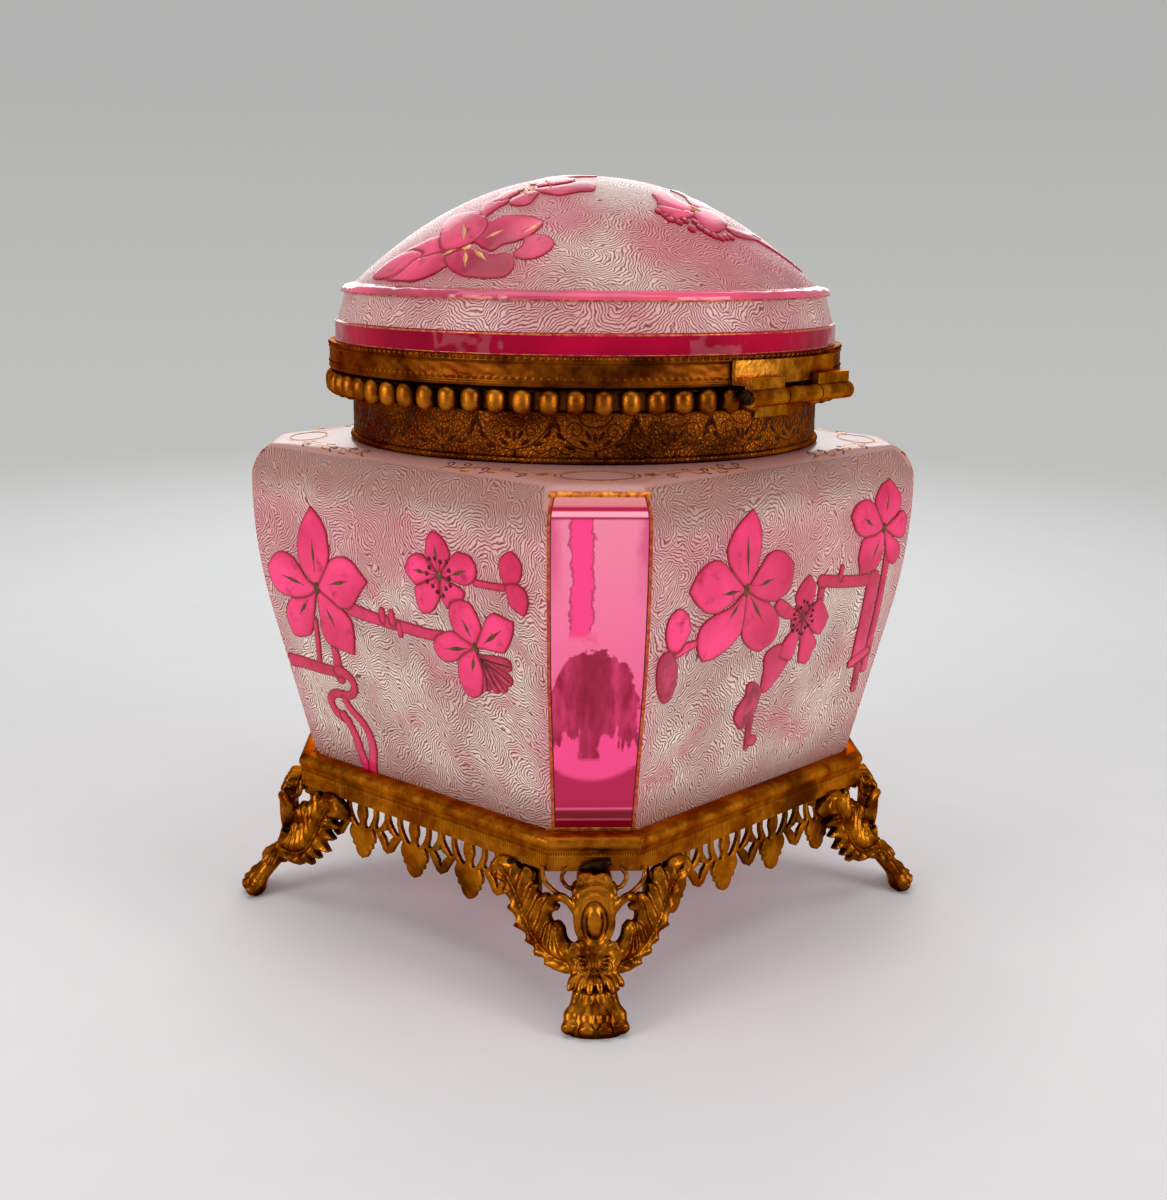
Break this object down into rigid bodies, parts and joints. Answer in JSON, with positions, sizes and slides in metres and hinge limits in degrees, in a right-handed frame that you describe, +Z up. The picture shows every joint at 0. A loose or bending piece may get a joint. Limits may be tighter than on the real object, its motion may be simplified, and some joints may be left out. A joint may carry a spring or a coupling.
{
  "type": "glass casket box",
  "caption": "Cut-cornered glass casket box on a pierced brass base with paw feet, with a round neck and a hinged domed glass lid.",
  "frame": {"origin": "centre of the footprint, on the ground under the four paws", "axes": "+Z up; the hinge is at the back, on +Y; the flat sides face X and Y and the cut corners lie between them"},
  "size_m": [0.1218, 0.1222, 0.1669],
  "materials": {
    "frosted_glass": "acid-frosted with a fine engraved ground",
    "ruby_glass": "polished ruby overlay",
    "gilt_brass": "worn gilding with dark patina in the hollows",
    "plaster": "matt"
  },
  "bodies": {
    "base": {"base_frame": "gilt_brass", "seat_packing": "plaster", "gallery_front": "gilt_brass", "gallery_right": "gilt_brass", "gallery_back": "gilt_brass", "gallery_left": "gilt_brass", "leg_front_right": "gilt_brass", "leg_back_right": "gilt_brass", "leg_back_left": "gilt_brass", "leg_front_left": "gilt_brass", "glass_box": "frosted_glass", "neck_bedding": "plaster", "neck_collar": "gilt_brass", "bead_gallery": "gilt_brass", "collar_hinge_leaf": "gilt_brass", "hinge_pin": "gilt_brass"},
    "lid": {"lid_hinge_leaf": "gilt_brass", "lid_band": "gilt_brass", "lid_bedding": "plaster", "lid_glass": "frosted_glass"}
  },
  "joints": [
    {"name": "lid_hinge", "type": "hinge", "parent": "base", "child": "lid", "pos_m": [0, 0.0596, 0.123], "axis": [-1, 0, 0], "range_deg": [0, 100]}
  ]
}
